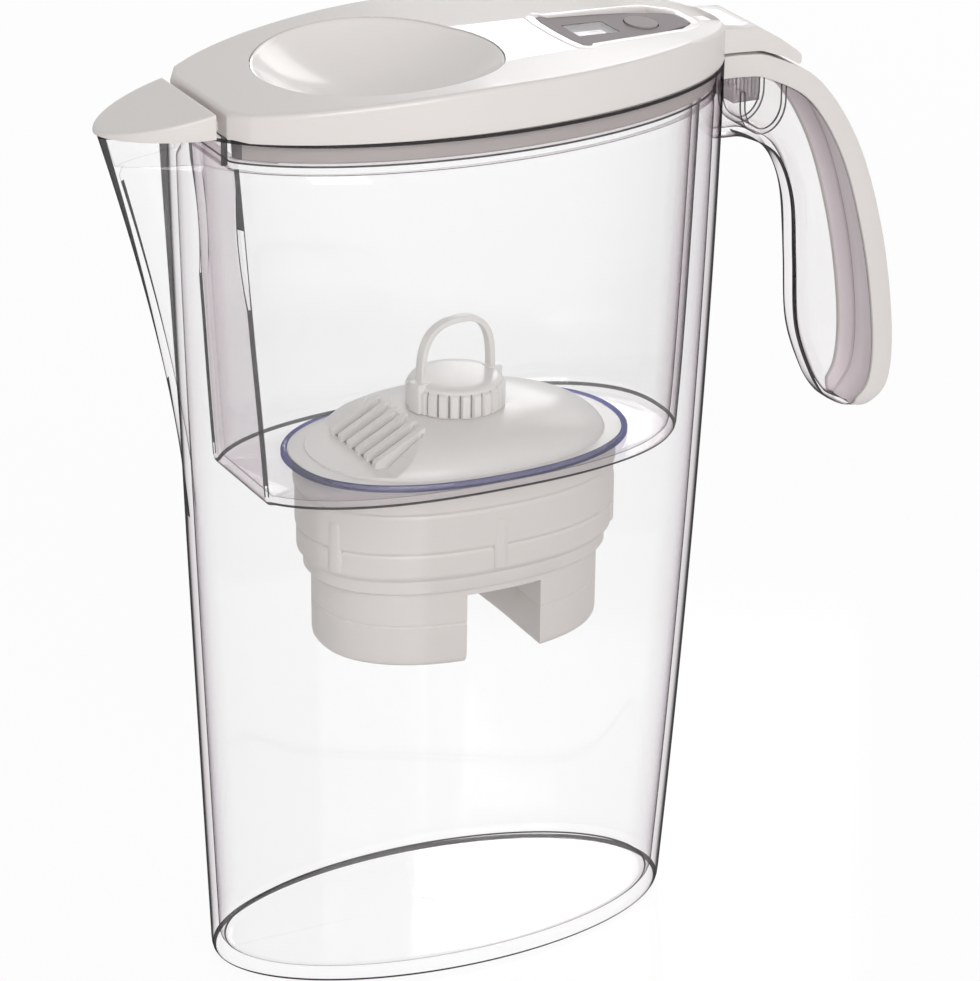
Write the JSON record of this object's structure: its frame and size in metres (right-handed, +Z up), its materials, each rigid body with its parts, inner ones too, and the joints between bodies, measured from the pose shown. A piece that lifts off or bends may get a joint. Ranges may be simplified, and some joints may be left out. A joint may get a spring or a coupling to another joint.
{
  "type": "water filter pitcher",
  "caption": "Clear oval water filter pitcher with a white flip lid, spout flap, change gauge, drop-in reservoir and lift-out filter cartridge",
  "frame": {"origin": "the middle of the jug's base, on the surface it stands on", "axes": "+Z up; -X towards the pouring spout, +X towards the handle; Y across the narrow way"},
  "size_m": [0.2409, 0.0868, 0.2616],
  "materials": {
    "clear_jug": "clear glossy moulded plastic",
    "clear_tank": "clear glossy moulded plastic",
    "white_lid": "warm white moulded plastic, satin gloss",
    "white_filter": "white moulded plastic, satin",
    "translucent_violet": "translucent blue violet moulded ring",
    "grey_panel": "mid grey matte plastic",
    "clear_window": "clear display window",
    "display_glass": "liquid crystal display, blank",
    "button_grey": "grey matte plastic",
    "steel": "bright stainless steel",
    "board_green": "green circuit board",
    "seal_rubber": "dark grey rubber",
    "filter_felt": "white filter felt",
    "filter_mesh": "pale grey moulded screen",
    "carbon": "packed carbon and resin grains",
    "red_plug": "red plastic"
  },
  "bodies": {
    "jug": {"jug_body": "clear_jug", "handle_channel": "clear_jug", "handle_strip": "white_lid", "handle_latch": "clear_tank"},
    "tank": {"reservoir": "clear_tank", "socket_seal": "translucent_violet"},
    "cartridge": {"cartridge_cup": "white_filter", "cartridge_dome": "white_filter", "cartridge_knob": "white_filter", "cartridge_loop": "white_filter", "inlet_screen": "filter_mesh", "upper_felt": "filter_felt", "carbon_media": "carbon", "lower_felts": "filter_felt", "outlet_grids": "filter_mesh", "outlet_plug": "red_plug"},
    "lid": {"lid_shell": "white_lid", "fill_flap_pin": "steel", "fill_flap_spring": "steel", "spout_flap_pin": "steel", "gauge_panel": "grey_panel", "gauge_window": "clear_window", "gauge_display": "display_glass", "button_dome": "steel", "gauge_board": "board_green", "gauge_cell": "steel", "gauge_housing": "white_lid", "gauge_seal": "seal_rubber", "gauge_cover": "white_lid", "gauge_screws": "steel"},
    "filling_flap": {"fill_flap": "white_lid"},
    "pouring_flap": {"spout_flap": "white_lid"},
    "button": {"reset_button": "button_grey"}
  },
  "joints": [
    {"name": "reservoir_lift", "type": "slide", "parent": "jug", "child": "tank", "axis": [0, 0, 1], "range_m": [0, 0.06]},
    {"name": "lid_lift", "type": "slide", "parent": "tank", "child": "lid", "axis": [0, 0, 1], "range_m": [0, 0.06]},
    {"name": "cartridge_lift", "type": "slide", "parent": "tank", "child": "cartridge", "axis": [0, 0, 1], "range_m": [0, 0.03]},
    {"name": "fill_flap_hinge", "type": "hinge", "parent": "lid", "child": "filling_flap", "pos_m": [0.0165, 0, 0.2546], "axis": [0, -1, 0], "range_deg": [0, 30], "stiffness_Nm_per_rad": 0.02, "springref_deg": -20.05},
    {"name": "spout_flap_hinge", "type": "hinge", "parent": "lid", "child": "pouring_flap", "pos_m": [-0.077, 0, 0.2522], "axis": [0, 1, 0], "range_deg": [0, 50]},
    {"name": "reset_button_press", "type": "slide", "parent": "lid", "child": "button", "axis": [-0.0302, 0, -0.9995], "range_m": [0, 0.0008], "stiffness_N_per_m": 400, "springref_m": -0.0012}
  ]
}
